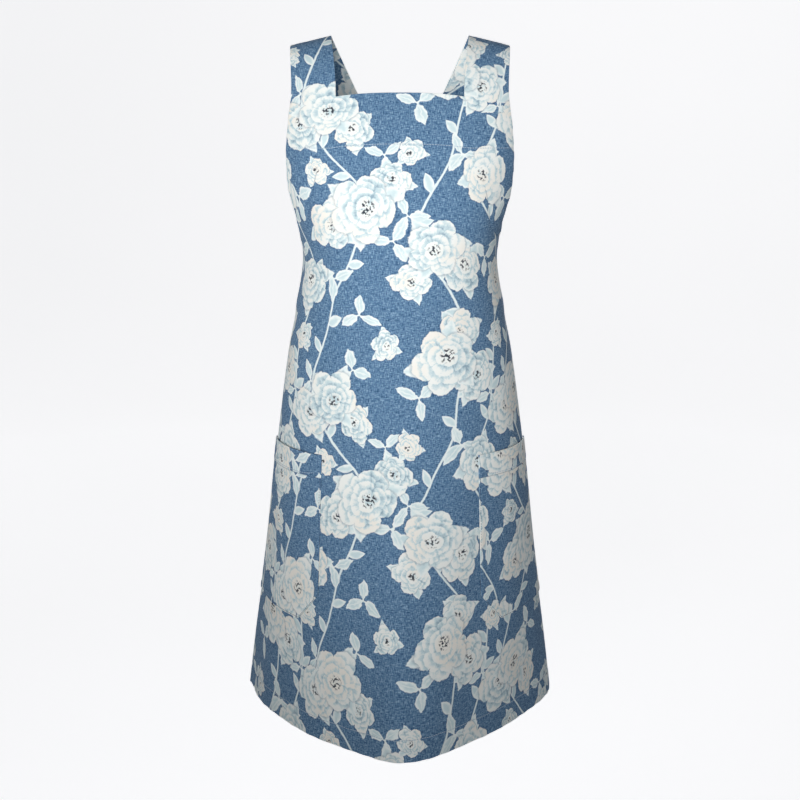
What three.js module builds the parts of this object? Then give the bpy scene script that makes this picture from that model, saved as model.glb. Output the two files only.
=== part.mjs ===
// A cross-back apron in its worn shape: a bib front with cut-on shoulder straps, two back panels
// that leave the back open, two straps that cross behind, and a patch pocket on each hip.
import * as THREE from 'three';

// Frame: +Z is up, the front faces -Y, +X is the wearer's left, and the origin lies midway between
// the two straps, on the line where they sit on the shoulders. All sizes are in millimetres.
const clothThickness = 1.4;
const strapThickness = 2;
const seamGap = 0.3;

// The straps: where they sit on the shoulders, how wide they are and how the shoulder falls away.
const strapSpread = 119;
const strapWidthOnShoulder = 55;
const shoulderSlope = 0.24;
const shoulderRise = 90;
const shoulderArc = 125;
const crossingHeight = -262;
const crossingReach = 75;
const crossingFade = 50;
const crossingLift = 2.6;

// The bib: its top edge, the gap between the straps and the slight arch of the neckline.
const bibTop = -74;
const neckHalfAngle = 24;
const necklineArch = 5;

// The pockets on the hips.
const pocketTop = -540;
const pocketBottom = -765;
const pocketInnerAngle = 39;
const pocketOuterAngle = 87;
const pocketGape = 3;
const pocketChamferAngle = 9;
const pocketChamferHeight = 40;

// The side seams: where they lie round from the front centre and how high they reach.
const sideSeamAngle = 90;
const sideSeamTop = -285;

// How many facets each piece has across and down.
const frontFacets = { neck: 11, strapAcross: 4, strapDown: 5, down: 34 };
const backFacets = { across: 12, down: 26 };
const strapFacets = { across: 5, down: 40 };
const pocketFacets = { chamfer: 3, across: 9, down: 12 };

// Level sections through the worn apron, from the shoulders to below the hem. Each is two half
// superellipses that meet at the sides: an exponent over 2 is boxy, and one under 2 comes to a ridge.
const sections = [
  { z: 0, side: 165, front: 60, back: 52, frontPower: 2.6, backPower: 3 },
  { z: -60, side: 165, front: 83, back: 68, frontPower: 2.6, backPower: 3 },
  { z: -130, side: 166, front: 109, back: 90, frontPower: 2.6, backPower: 2.8 },
  { z: -190, side: 157, front: 124, back: 99, frontPower: 2.55, backPower: 2.6 },
  { z: -240, side: 140, front: 131, back: 104, frontPower: 2.5, backPower: 2.4 },
  { z: -280, side: 132, front: 132, back: 108, frontPower: 2.4, backPower: 2.3 },
  { z: -330, side: 138, front: 131, back: 114, frontPower: 2.2, backPower: 2.2 },
  { z: -420, side: 155, front: 137, back: 122, frontPower: 2, backPower: 2.1 },
  { z: -540, side: 172, front: 160, back: 132, frontPower: 1.8, backPower: 2 },
  { z: -700, side: 191, front: 205, back: 145, frontPower: 1.6, backPower: 2 },
  { z: -850, side: 213, front: 250, back: 155, frontPower: 1.45, backPower: 2 },
  { z: -1000, side: 232, front: 290, back: 165, frontPower: 1.4, backPower: 2 },
];

// The front armhole: how far round from the front centre the bib reaches at each height.
const armhole = [
  { z: bibTop, angle: 55 },
  { z: -130, angle: 59.5 },
  { z: -190, angle: 66.5 },
  { z: -220, angle: 70.5 },
  { z: -245, angle: 75.5 },
  { z: -265, angle: 81.5 },
  { z: sideSeamTop, angle: sideSeamAngle },
];

// The top edge of a back panel, from the side seam (0) to the open back edge (1).
const backTopEdge = [
  { across: 0, z: sideSeamTop },
  { across: 0.25, z: -306 },
  { across: 0.45, z: -334 },
  { across: 0.65, z: -360 },
  { across: 0.8, z: -379 },
  { across: 1, z: -405 },
];
const strapSeamStart = 0.72;

// The open back edges, as angles round from the front centre. The two panels hang a little differently.
const backOpening = [
  { z: -400, left: 166, right: 169 },
  { z: -460, left: 159, right: 161.5 },
  { z: -520, left: 150, right: 152.5 },
  { z: -590, left: 142, right: 145 },
  { z: -700, left: 138, right: 138 },
  { z: -820, left: 134.5, right: 128 },
  { z: -990, left: 129, right: 118 },
];
const hem = { front: -910, side: -915, leftCorner: -942, rightCorner: -956 };

const cloth = { color: 0x5f83ad, roughness: 0.9, metalness: 0 };
const degrees = Math.PI / 180;

// A smooth curve through a table's rows: cubic pieces whose slopes are those of the neighbouring rows.
function lookUp(table, key, column, at) {
  const rows = [...table].sort((one, other) => one[key] - other[key]);
  const last = rows.length - 1;
  const place = THREE.MathUtils.clamp(at, rows[0][key], rows[last][key]);
  let index = 0;
  while (index < last - 1 && place > rows[index + 1][key]) index += 1;
  const slope = (row) => {
    const before = rows[Math.max(row - 1, 0)];
    const after = rows[Math.min(row + 1, last)];
    return (after[column] - before[column]) / (after[key] - before[key]);
  };
  const span = rows[index + 1][key] - rows[index][key];
  const t = (place - rows[index][key]) / span;
  const rise = t * t * (3 - 2 * t);
  return rows[index][column] * (1 - rise) + rows[index + 1][column] * rise
    + span * t * (1 - t) * ((1 - t) * slope(index) - t * slope(index + 1));
}

// A point of the apron's inner face: an angle round from the front centre and a height.
function wallPoint(angle, z) {
  const size = (column) => lookUp(sections, 'z', column, z);
  const sine = Math.sin(angle * degrees);
  const cosine = Math.cos(angle * degrees);
  const power = 2 / size(cosine >= 0 ? 'frontPower' : 'backPower');
  const depth = cosine >= 0 ? -size('front') : size('back');
  const x = size('side') * Math.sign(sine) * Math.abs(sine) ** power;
  return new THREE.Vector3(x, depth * Math.abs(cosine) ** power, z);
}

// How far behind the origin the back lies at a place across it and a height.
function backDepth(x, z) {
  const power = lookUp(sections, 'z', 'backPower', z);
  const across = Math.min(Math.abs(x) / lookUp(sections, 'z', 'side', z), 1);
  return lookUp(sections, 'z', 'back', z) * (1 - across ** power) ** (1 / power);
}

function shoulderFall(x) {
  return -shoulderSlope * (Math.abs(x) - strapSpread);
}

// A grid of points becomes a closed wall of cloth: the points are its inner face, the same points moved
// out along their normals are its outer face, and a rim closes every free edge. Rows run down, and
// outward is 1 where the columns run with the angle round the body and -1 where they run against it.
function clothWall(points, thickness, outward = 1, isCloth = () => true) {
  const rows = points.length;
  const columns = points[0].length;
  const quads = [];
  for (let row = 0; row < rows - 1; row += 1) {
    for (let column = 0; column < columns - 1; column += 1) {
      const corner = row * columns + column;
      const ring = [corner, corner + columns, corner + columns + 1, corner + 1];
      if (isCloth(row, column)) quads.push(outward > 0 ? ring : ring.reverse());
    }
  }
  const flat = points.flat();
  const normals = flat.map(() => new THREE.Vector3());
  for (const [a, b, c, d] of quads) {
    const diagonal = flat[c].clone().sub(flat[a]);
    const facing = diagonal.cross(flat[d].clone().sub(flat[b]));
    for (const corner of [a, b, c, d]) normals[corner].add(facing);
  }
  const used = [...new Set(quads.flat())];
  const place = new Map(used.map((corner, index) => [corner, index]));
  const inner = used.map((corner) => flat[corner]);
  const outer = used.map((corner) => {
    const stand = normals[corner].setLength(thickness);
    return flat[corner].clone().add(stand);
  });
  const triangles = [];
  const edges = new Map();
  for (const quad of quads) {
    const [a, b, c, d] = quad.map((corner) => place.get(corner));
    const shift = used.length;
    triangles.push(a, b, c, a, c, d, c + shift, b + shift, a + shift, d + shift, c + shift, a + shift);
    for (const [from, to] of [[a, b], [b, c], [c, d], [d, a]]) {
      if (!edges.delete(`${to} ${from}`)) edges.set(`${from} ${to}`, [from, to]);
    }
  }
  for (const [from, to] of edges.values()) {
    const shift = used.length;
    triangles.push(to, from, from + shift, to, from + shift, to + shift);
  }
  const geometry = new THREE.BufferGeometry();
  geometry.setFromPoints([...outer, ...inner]);
  geometry.setIndex(triangles);
  geometry.computeVertexNormals();
  return geometry;
}

function steps(count, from = 0, to = 1) {
  return Array.from({ length: count + 1 }, (_, index) => from + (to - from) * index / count);
}

// The front: a bib and skirt from armhole to armhole, then from side seam to side seam, with the front
// half of each strap cut on to the bib's corners.
function frontPanel() {
  const neckShare = neckHalfAngle / armhole[0].angle;
  const strapColumns = steps(frontFacets.strapAcross, neckShare, 1);
  const half = [...steps(frontFacets.neck, 0, neckShare).slice(1), ...strapColumns.slice(1)];
  const columns = [...half.map((share) => -share).reverse(), 0, ...half];
  const strapRows = steps(frontFacets.strapDown).slice(0, -1);
  const bodyRows = steps(frontFacets.down);
  const edgeAngle = (z) => lookUp(armhole, 'z', 'angle', z);
  const topAt = (share) => bibTop + necklineArch * Math.max(0, 1 - (share / neckShare) ** 2);
  const clear = (point) => point.setY(Math.min(point.y, -seamGap / 2));

  const bodyPoint = (share, down) => {
    const top = topAt(share);
    const bottom = THREE.MathUtils.lerp(hem.front, hem.side, share ** 2);
    const z = THREE.MathUtils.lerp(top, bottom, down);
    return clear(wallPoint(share * edgeAngle(z), z));
  };

  // Up the strap, a curve leaves the bib along its slope and arrives level on the shoulder.
  const strapPoint = (share, up) => {
    const start = wallPoint(share * edgeAngle(bibTop), bibTop);
    const slope = wallPoint(share * edgeAngle(bibTop), bibTop + 1).sub(start);
    const across = (Math.abs(share) - neckShare) / (1 - neckShare) - 0.5;
    const x = Math.sign(share) * (strapSpread + across * strapWidthOnShoulder);
    const end = new THREE.Vector3(x, -seamGap / 2, shoulderFall(x));
    const reach = end.distanceTo(start);
    const bend = new THREE.CubicBezierCurve3(
      start,
      start.clone().addScaledVector(slope, reach / 3),
      end.clone().add(new THREE.Vector3(0, -reach / 3, 0)),
      end,
    );
    return bend.getPoint(up);
  };

  const isStrap = (share) => Math.abs(share) > neckShare - 1e-6;
  const points = [
    ...strapRows.map((up) => columns.map((share) => strapPoint(share, 1 - up))),
    ...bodyRows.map((down) => columns.map((share) => bodyPoint(share, down))),
  ];
  const isCloth = (row, column) => row >= strapRows.length
    || (isStrap(columns[column]) && isStrap(columns[column + 1]));
  return clothWall(points, clothThickness, 1, isCloth);
}

// One side of the back, named by the wearer's own side: sign is 1 on the left and -1 on the right.
function openingAngle(sign, z) {
  return lookUp(backOpening, 'z', sign > 0 ? 'left' : 'right', z);
}

function backPoint(sign, across, z) {
  const angle = sideSeamAngle + across * (openingAngle(sign, z) - sideSeamAngle);
  const point = wallPoint(sign * angle, z);
  return point.setY(Math.max(point.y, seamGap / 2));
}

function backPanel(sign) {
  const corner = sign > 0 ? hem.leftCorner : hem.rightCorner;
  const columns = steps(backFacets.across);
  const points = steps(backFacets.down).map((down) => columns.map((across) => {
    const top = lookUp(backTopEdge, 'across', 'z', across);
    const bottom = THREE.MathUtils.lerp(hem.side, corner, across);
    return backPoint(sign, across, THREE.MathUtils.lerp(top, bottom, down));
  }));
  return clothWall(points, clothThickness, sign);
}

// A strap runs down from the shoulder seam on its own side, slanting across the back to the top edge of
// the other side's panel. It rounds the shoulder, then lies on the back, and one lifts over the other.
function backStrap(sign, lift) {
  const rise = shoulderArc;
  const pathHeight = (along) => (along < rise
    ? -shoulderRise * (1 - Math.cos(along / rise * Math.PI / 2))
    : -shoulderRise - (along - rise));
  const strapPoint = (x, along) => {
    const turn = Math.min(along / rise, 1);
    const fall = shoulderFall(x) * (1 - turn) ** 2;
    const z = pathHeight(along) + fall;
    const y = backDepth(x, pathHeight(along)) * Math.sin(turn * Math.PI / 2);
    return new THREE.Vector3(x, Math.max(y, seamGap / 2), z);
  };
  const columns = steps(strapFacets.across);
  const points = steps(strapFacets.down).map((down) => columns.map((across) => {
    const top = sign * (strapSpread + (0.5 - across) * strapWidthOnShoulder);
    const seamPlace = THREE.MathUtils.lerp(1, strapSeamStart, across);
    const seam = backPoint(-sign, seamPlace, lookUp(backTopEdge, 'across', 'z', seamPlace));
    const length = rise - shoulderRise - seam.z - 2 * seamGap;
    const along = down * length;
    const x = THREE.MathUtils.lerp(top, seam.x, pathHeight(along) / pathHeight(length));
    const point = strapPoint(x, along);
    const away = Math.abs(point.z - crossingHeight) - crossingReach;
    point.y += lift * (1 - THREE.MathUtils.smoothstep(away, 0, crossingFade));
    return point;
  }));
  return clothWall(points, strapThickness, -sign);
}

// A patch pocket lies on the front panel, sewn at its inner edge, its bottom and the side seam. Its top
// edge stands a little open, and the lower inner corner is cut off.
function pocket(sign) {
  const chamferShare = pocketChamferAngle / (pocketOuterAngle - pocketInnerAngle);
  const chamferColumns = steps(pocketFacets.chamfer, 0, chamferShare);
  const columns = [...chamferColumns, ...steps(pocketFacets.across, chamferShare, 1).slice(1)];
  const outwardAt = (angle, z) => {
    const around = wallPoint(angle + 0.5, z).sub(wallPoint(angle - 0.5, z));
    const up = wallPoint(angle, z + 1).sub(wallPoint(angle, z - 1));
    return around.cross(up).normalize();
  };
  const points = steps(pocketFacets.down).map((down) => columns.map((across) => {
    const cut = pocketChamferHeight * Math.max(0, 1 - across / chamferShare);
    const z = THREE.MathUtils.lerp(pocketTop, pocketBottom + cut, down);
    const angle = sign * THREE.MathUtils.lerp(pocketInnerAngle, pocketOuterAngle, across);
    const open = pocketGape * Math.sin(across * Math.PI) * (1 - down) ** 2;
    const stand = clothThickness + seamGap + open;
    return wallPoint(angle, z).addScaledVector(outwardAt(angle, z), stand);
  }));
  return clothWall(points, clothThickness, sign);
}

const apron = new THREE.Group();

function addPiece(name, geometry) {
  const piece = new THREE.Mesh(geometry, new THREE.MeshStandardMaterial(cloth));
  piece.name = name;
  apron.add(piece);
}

addPiece('front_panel', frontPanel());
addPiece('back_panel_left', backPanel(1));
addPiece('back_panel_right', backPanel(-1));
addPiece('strap_left', backStrap(1, crossingLift));
addPiece('strap_right', backStrap(-1, 0));
addPiece('pocket_left', pocket(1));
addPiece('pocket_right', pocket(-1));

export default apron;
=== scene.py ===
import math

import bpy
import numpy as np
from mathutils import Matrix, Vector


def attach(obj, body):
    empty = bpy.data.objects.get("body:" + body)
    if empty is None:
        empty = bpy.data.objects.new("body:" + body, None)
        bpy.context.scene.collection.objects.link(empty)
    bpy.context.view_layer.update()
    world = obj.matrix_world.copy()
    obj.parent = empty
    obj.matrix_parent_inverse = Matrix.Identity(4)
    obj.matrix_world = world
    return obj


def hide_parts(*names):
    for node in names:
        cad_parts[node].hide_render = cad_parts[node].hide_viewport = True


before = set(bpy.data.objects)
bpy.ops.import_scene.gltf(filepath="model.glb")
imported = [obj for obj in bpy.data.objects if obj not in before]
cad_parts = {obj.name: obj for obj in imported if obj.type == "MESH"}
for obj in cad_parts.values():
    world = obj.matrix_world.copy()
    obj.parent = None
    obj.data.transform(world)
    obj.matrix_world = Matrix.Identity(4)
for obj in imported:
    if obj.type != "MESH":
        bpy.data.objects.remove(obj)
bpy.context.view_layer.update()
print("frame loaded")

mm = 0.001
clothThickness = 1.4    # mm, as the solids
strapThickness = 2.0
seamGap = 0.3
grooveWidth = 0.9    # half the width of the dip that a row of stitches pulls in
stitchBed = 0.1    # how deep a row of stitches lies in its dip
sideName = {1: "Left", -1: "Right"}    # the wearer's sides


class Wire:
    # one socket of a material's nodes, with arithmetic that adds the nodes it needs
    def __init__(self, tree, socket):
        self.tree = tree
        self.socket = socket

    def node(self, kind, settings=None, inputs=None, output=0):
        made = self.tree.nodes.new(kind)
        for name, value in (settings or {}).items():
            setattr(made, name, value)
        for key, value in (inputs or {}).items():
            if isinstance(value, Wire):
                self.tree.links.new(value.socket, made.inputs[key])
            else:
                made.inputs[key].default_value = value
        return Wire(self.tree, made.outputs[output])

    def math(self, operation, *values):
        return self.node("ShaderNodeMath", {"operation": operation}, dict(enumerate(values)))

    def __add__(self, other):
        return self.math("ADD", self, other)

    def __radd__(self, other):
        return self.math("ADD", other, self)

    def __sub__(self, other):
        return self.math("SUBTRACT", self, other)

    def __rsub__(self, other):
        return self.math("SUBTRACT", other, self)

    def __mul__(self, other):
        return self.math("MULTIPLY", self, other)

    def __rmul__(self, other):
        return self.math("MULTIPLY", other, self)

    def __truediv__(self, other):
        return self.math("DIVIDE", self, other)

    def __pow__(self, other):
        return self.math("POWER", self, other)

    def __abs__(self):
        return self.math("ABSOLUTE", self)

    def sine(self):
        return self.math("SINE", self)

    def cosine(self):
        return self.math("COSINE", self)

    def least(self, other):
        return self.math("MINIMUM", self, other)

    def most(self, other):
        return self.math("MAXIMUM", self, other)

    def wrapped(self, low, high):
        return self.math("WRAP", self, high, low)

    # 0 at start and 1 at end, easing at both
    def ease(self, start, end):
        return self.node("ShaderNodeMapRange", {"interpolation_type": "SMOOTHSTEP"},
                         {0: self, 1: start, 2: end})

    def vector(self, operation, *values):
        inputs = dict(enumerate((self,) + values))
        output = 1 if operation == "LENGTH" else 0
        return self.node("ShaderNodeVectorMath", {"operation": operation}, inputs, output)

    def scaled(self, factor):
        return self.node("ShaderNodeVectorMath", {"operation": "SCALE"}, {0: self, "Scale": factor})

    def part(self, axis):
        return self.node("ShaderNodeSeparateXYZ", None, {0: self}, axis)

    # a place as a motif sees it: turned back by the motif's angle and divided by its size
    def placed(self, turn, size):
        return self.node("ShaderNodeMapping", {"vector_type": "TEXTURE"},
                         {0: self, "Rotation": (0, 0, turn), "Scale": size})

    # this wire is the share of b in a mix of two numbers, vectors or colours
    def between(self, a, b):
        return self.node("ShaderNodeMix", {"data_type": "FLOAT"}, {0: self, 2: a, 3: b}, 0)

    def vectorBetween(self, a, b):
        return self.node("ShaderNodeMix", {"data_type": "VECTOR"}, {0: self, 4: a, 5: b}, 1)

    def colourBetween(self, a, b):
        return self.node("ShaderNodeMix", {"data_type": "RGBA"}, {0: self, 6: a, 7: b}, 2)

    def noise(self, scale, detail=2.0, roughness=0.5, output=0):
        return self.node("ShaderNodeTexNoise", None,
                         {"Vector": self, "Scale": scale, "Detail": detail, "Roughness": roughness}, output)

    def into(self, shader, name):
        self.tree.links.new(self.socket, shader.inputs[name])


# the printed design: trailing roses, mm on the flat cloth, and its colours
rosePrint = {
    "repeat": (300, 380),
    # across, down, radius, turn in degrees, squash
    "frontRoses": [
        (60, 62, 38, 10, 1.0), (205, 116, 36, 140, 0.9), (114, 208, 33, 250, 0.84), (252, 250, 37, 60, 1.0),
        (46, 298, 36, 200, 0.94), (165, 350, 32, 310, 0.84), (150, 40, 17, 30, 0.9), (280, 46, 18, 100, 0.9),
        (14, 176, 17, 220, 0.9), (192, 202, 17, 330, 0.9),
    ],
    "backRoses": [
        (102, 86, 31, 80, 0.92), (84, 22, 25, 190, 0.95), (164, 140, 32, 20, 0.92), (240, 148, 23, 280, 0.9),
        (210, 270, 30, 120, 0.92), (288, 214, 25, 340, 0.9), (84, 324, 30, 40, 0.92), (16, 340, 24, 160, 0.9),
    ],
    # across, down, reach, turn in degrees
    "sprays": [
        (24, 110, 31, 200), (132, 114, 28, 40), (236, 76, 30, 20), (170, 96, 26, 250), (80, 180, 31, 130),
        (150, 234, 30, 340), (292, 286, 31, 60), (10, 254, 28, 120), (208, 344, 31, 330), (128, 312, 28, 220),
        (248, 4, 29, 150), (280, 176, 27, 200),
    ],
    # middle across, swing, swing of the second wave, and the lead of each in degrees
    "vines": [(62, 34, 12, 20, 80), (212, 38, 10, 190, 10), (138, 28, 13, 100, 200)],
    "vineWidth": 2.6, "vineEdge": (0.75, 0.35),    # shares of the width where the ink starts and is full
    "vineLeaves": 5, "vineLeafLength": 27.0, "vineLeafTurn": 52, "vineLeafStart": 0.12,
    "sepalReach": 1.5, "sepalTurn": 0.6,
    # how far the design sways and its outlines ruffle, and a vine's share of the ruffle
    "wander": 15.0, "ruffle": 7.0, "vineRuffle": 0.25,
    # how fast each noise changes, per mm
    "wanderScale": 0.014, "ruffleScale": 0.11, "grainScale": 0.45, "blotchScale": 0.10, "stamenScale": 0.27,
    "tintScale": 0.014,
    # how much brush grain, blotches and a dark tint change a petal's shade
    "grainShare": 0.5, "blotchShare": 1.4, "tintShare": 0.25,
    # where each tone starts and is full: threads of the ground, a petal's tints and shades, stamens
    "darkThreads": (0.375, 0.511), "lightThreads": (0.489, 0.636),
    "darkTint": (0.5, 0.38), "creamTint": (0.5, 0.62),
    "deepShade": (-0.1, 0.4), "paleShade": (0.3, 0.85),
    "stamenTone": (0.48, 0.58), "stamenReach": (0.30, 0.18),
    # softness of an inked edge, tone of the shade round a rose, and its reach, in sizes of the motif
    "inkEdge": 0.02, "roseShadow": 0.3, "roseShadowReach": 0.12,
    "ground": (0.094, 0.196, 0.338, 1), "groundLight": (0.31, 0.47, 0.63, 1),
    "groundDark": (0.022, 0.068, 0.165, 1),
    "vine": (0.76, 0.85, 0.87, 1),
    "leaf": (0.60, 0.74, 0.78, 1), "leafRim": (0.85, 0.91, 0.91, 1),
    "petalDeep": (0.29, 0.41, 0.50, 1), "petalShade": (0.55, 0.69, 0.74, 1),
    "petal": (0.86, 0.89, 0.875, 1), "petalCream": (0.875, 0.86, 0.81, 1),
    "stamen": (0.045, 0.055, 0.075, 1),
}
# rings of petals from the loose outer ones to the heart: radius, petals, lead, scallop, and the ring's
# centre across and down
petalRings = [
    (1.16, 5, 0.9, 0.32, 0.00, 0.02), (0.92, 5, 2.3, 0.20, 0.02, -0.02), (0.66, 4, 1.2, 0.18, 0.04, -0.08),
    (0.40, 3, 0.3, 0.20, 0.06, -0.13),
]
# shades on a rose, each with where it starts and is full: clefts between petals, the petals' hollows, the
# shade that a ring casts on the ring outside it, and brush strokes
roseShade = {
    "lobePower": 0.55,    # rounds the petals' rims
    "cleft": 0.42, "cleftLobe": (0.55, 0.05), "cleftReach": (0.42, 0.1),
    "hollow": 0.22, "hollowReach": (0.02, 0.30),
    "cast": 0.42, "castReach": 0.26, "rimEdge": 0.03,
    "strokes": 1.3, "strokeScale": 3.4, "strokeReach": (0.2, 0.6),
}
# a leaf's form and where its tones start and are full, as shares of its reach from base to tip
leafForm = {
    "middle": 0.53, "halfLength": 0.47, "width": 0.27, "taper": 0.08, "leastWidth": 0.15,
    "stalkWidth": 0.06, "stalkEnd": (0.3, 0.22), "stalkTrim": 0.02,
    "ribAside": (0.045, 0.015), "ribEnd": (0.95, 0.7), "ribTone": 0.7,
    "rim": 0.18, "rimBlotch": 0.3,
}


# the place within the nearest motif of a table: wrapped to the repeat, turned, and scaled to the
# motif's size
def nearestMotif(cloth, motifs):
    half = tuple(side / 2 for side in rosePrint["repeat"]) + (1,)
    best = least = None
    for across, down, size, turn, squash in motifs:
        place = cloth.vector("SUBTRACT", (across, down, 0)).vector("WRAP", half, tuple(-h for h in half))
        place = place.placed(math.radians(turn), (size, size * squash, 1))
        away = place.vector("LENGTH")
        if best is None:
            best, least = place, away
            continue
        best = away.math("LESS_THAN", away, least).vectorBetween(best, place)
        least = least.least(away)
    return best


# a rose: a ring's rim is its radius less a scallop for each petal; each ring lies on the one outside it
# and throws a wide soft shade on it, a fainter shade runs down between neighbouring petals, and brush
# strokes run out from the heart
def rose(place):
    look = roseShade
    shade = outline = None
    for radius, petals, lead, scallop, across, down in petalRings:
        own = place.vector("SUBTRACT", (across, down, 0))
        angle = own.math("ARCTAN2", own.part(1), own.part(0))
        lobe = abs((angle * (petals / 2) + lead).sine()) ** look["lobePower"]
        inside = lobe * (scallop * radius) + (1 - scallop) * radius - own.vector("LENGTH")
        cleft = lobe.ease(*look["cleftLobe"]) * inside.ease(*look["cleftReach"])
        pale = 1 - cleft * look["cleft"] - inside.ease(*look["hollowReach"]) * look["hollow"]
        if outline is None:
            shade, outline = pale, inside
            continue
        shade = shade - inside.ease(-look["castReach"], 0.0) * look["cast"]
        shade = inside.ease(-look["rimEdge"], look["rimEdge"]).between(shade, pale)
    heart = place.vector("SUBTRACT", petalRings[-1][4:] + (0,))
    strokes = heart.vector("NORMALIZE").scaled(look["strokeScale"]).noise(1.0, 3.0, 0.65)
    heart = heart.vector("LENGTH")
    shade = shade + (strokes - 0.5) * heart.ease(*look["strokeReach"]) * look["strokes"]
    return shade, outline, heart


# a leaf from its base at 0 to its tip at 1: an oval drawn to a point at both ends
def leafShape(along, aside):
    form = leafForm
    oval = (along - form["middle"]) / form["halfLength"]
    width = (form["width"] - along * form["taper"]).most(form["leastWidth"])
    return (1 - oval * oval) * width - aside


# three leaves round a stalk, and their ribs: the angle folds into one leaf
def leafSpray(place):
    form = leafForm
    angle = place.math("ARCTAN2", place.part(1), place.part(0))
    fold = angle.wrapped(-math.pi / 3, math.pi / 3)
    reach = place.vector("LENGTH")
    along = reach * fold.cosine()
    aside = abs(reach * fold.sine())
    stalk = along.ease(*form["stalkEnd"]) * form["stalkWidth"] - aside - form["stalkTrim"]
    rib = aside.ease(*form["ribAside"]) * along.ease(*form["ribEnd"])
    return leafShape(along, aside).most(stalk), rib


# vines: a long wave and a shorter one down the cloth, drawn as a line of even width, with leaves that
# leave it at a slant on one side and then on the other; the wave's slope turns each leaf with its vine
def vineShapes(cloth):
    across, down = cloth.part(0), cloth.part(1)
    width, height = rosePrint["repeat"]
    turn = math.radians(rosePrint["vineLeafTurn"])
    length = rosePrint["vineLeafLength"]
    step = height / rosePrint["vineLeaves"]
    wave = 2 * math.pi / height
    nearest = leaves = None
    for middle, swing, second, lead, secondLead in rosePrint["vines"]:
        first, other = down * wave + math.radians(lead), down * (2 * wave) + math.radians(secondLead)
        path = first.sine() * swing + other.sine() * second + middle
        slope = first.cosine() * (swing * wave) + other.cosine() * (second * 2 * wave)
        stretch = (slope * slope + 1) ** 0.5
        aside = (across - path).wrapped(-width / 2, width / 2) / stretch
        gap = abs(aside)
        nearest = gap if nearest is None else nearest.least(gap)
        for side in (1, -1):
            run = (down + side * step / 4 + lead).wrapped(-step / 2, step / 2) * stretch + slope * aside
            leafAlong = (aside * (side * math.sin(turn)) - run * math.cos(turn)) / length
            leafAside = abs(aside * (side * math.cos(turn)) + run * math.sin(turn)) / length
            leaf = leafShape(leafAlong + rosePrint["vineLeafStart"], leafAside)
            leaves = leaf if leaves is None else leaves.most(leaf)
    start, full = (rosePrint["vineWidth"] * share for share in rosePrint["vineEdge"])
    return nearest.ease(start, full), leaves


# ink over a colour wherever a shape's inside is above 0, with a soft edge
def inked(inside, colour, ink):
    soft = rosePrint["inkEdge"]
    return inside.ease(-soft, soft).colourBetween(colour, ink)


# a leaf's ink: paler towards the rim, in blotches
def leafInk(inside, blotch):
    rim = (inside + (blotch - 0.5) * leafForm["rimBlotch"]).ease(leafForm["rim"], 0.0)
    return rim.colourBetween(rosePrint["leaf"], rosePrint["leafRim"])


# the print over the whole cloth, from the ground up: threads, vines, leaves, back roses, front roses
def printColour(cloth, threads):
    inks = rosePrint
    middle = (0.5, 0.5, 0.5)    # the mean of a noise
    level = (1, 1, 0)
    sway = cloth.noise(inks["wanderScale"], 0.0, 0.5, 1).vector("SUBTRACT", middle).scaled(inks["wander"])
    swayed = cloth.vector("ADD", sway).vector("MULTIPLY", level)
    ruffle = cloth.noise(inks["ruffleScale"], 2.0, 0.6, 1).vector("SUBTRACT", middle).scaled(inks["ruffle"])
    drawn = swayed.vector("ADD", ruffle).vector("MULTIPLY", level)
    colour = threads.ease(*inks["darkThreads"]).colourBetween(inks["groundDark"], inks["ground"])
    colour = threads.ease(*inks["lightThreads"]).colourBetween(colour, inks["groundLight"])
    grain = cloth.noise(inks["grainScale"], 2.0, 0.6)
    blotch = cloth.noise(inks["blotchScale"], 2.0, 0.55)
    dots = cloth.noise(inks["stamenScale"], 1.0, 0.5)
    tint = cloth.noise(inks["tintScale"], 1.0, 0.5)
    vine, vineLeaf = vineShapes(swayed.vector("ADD", ruffle.scaled(inks["vineRuffle"])))
    colour = vine.colourBetween(colour, inks["vine"])
    inside, rib = leafSpray(nearestMotif(drawn, [row + (1.0,) for row in inks["sprays"]]))
    inside = inside.most(vineLeaf)
    leaf = (rib * leafForm["ribTone"]).colourBetween(leafInk(inside, blotch), inks["leafRim"])
    colour = inked(inside, colour, leaf)
    for table in ("backRoses", "frontRoses"):
        place = nearestMotif(drawn, inks[table])
        sepal = leafSpray(place.placed(inks["sepalTurn"], (inks["sepalReach"],) * 3))[0]
        colour = inked(sepal, colour, leafInk(sepal, blotch))
        shade, outline, heart = rose(place)
        shade = shade + (grain - 0.5) * inks["grainShare"] + (blotch - 0.5) * inks["blotchShare"]
        shade = shade - tint.ease(*inks["darkTint"]) * inks["tintShare"]
        petal = tint.ease(*inks["creamTint"]).colourBetween(inks["petal"], inks["petalCream"])
        flower = shade.ease(*inks["deepShade"]).colourBetween(inks["petalDeep"], inks["petalShade"])
        flower = shade.ease(*inks["paleShade"]).colourBetween(flower, petal)
        stamens = dots.ease(*inks["stamenTone"]) * heart.ease(*inks["stamenReach"])
        flower = stamens.colourBetween(flower, inks["stamen"])
        shadow = outline.ease(-inks["roseShadowReach"], 0.0) * inks["roseShadow"]
        colour = shadow.colourBetween(colour, inks["groundDark"])
        colour = inked(outline, colour, flower)
    return colour


# added to the distance beyond a dart's line, so that cloth without a dart reads as far from one
dartMark = 100
clothFinish = {
    "wrongSide": (0.30, 0.31, 0.30, 1), "wrongDark": (0.24, 0.25, 0.245, 1), "showThrough": 0.11,
    "roughness": (0.78, 0.92), "relief": 0.00022, "reliefStrength": 0.6,
    "sheen": 0.03, "specular": 0.12,
    "slubAcross": 1.2, "slubAlong": 0.15,    # how fast slubs change across and along a thread, per mm
    "speckle": 0.4, "speckleShare": 0.14,    # how fast the speckle changes, and its share of the tone
    "dartLine": (1.1, 0.3), "dartShade": 0.35,    # mm from a dart where its line starts and is full, and the darkness of the painted shade along it
}


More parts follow.
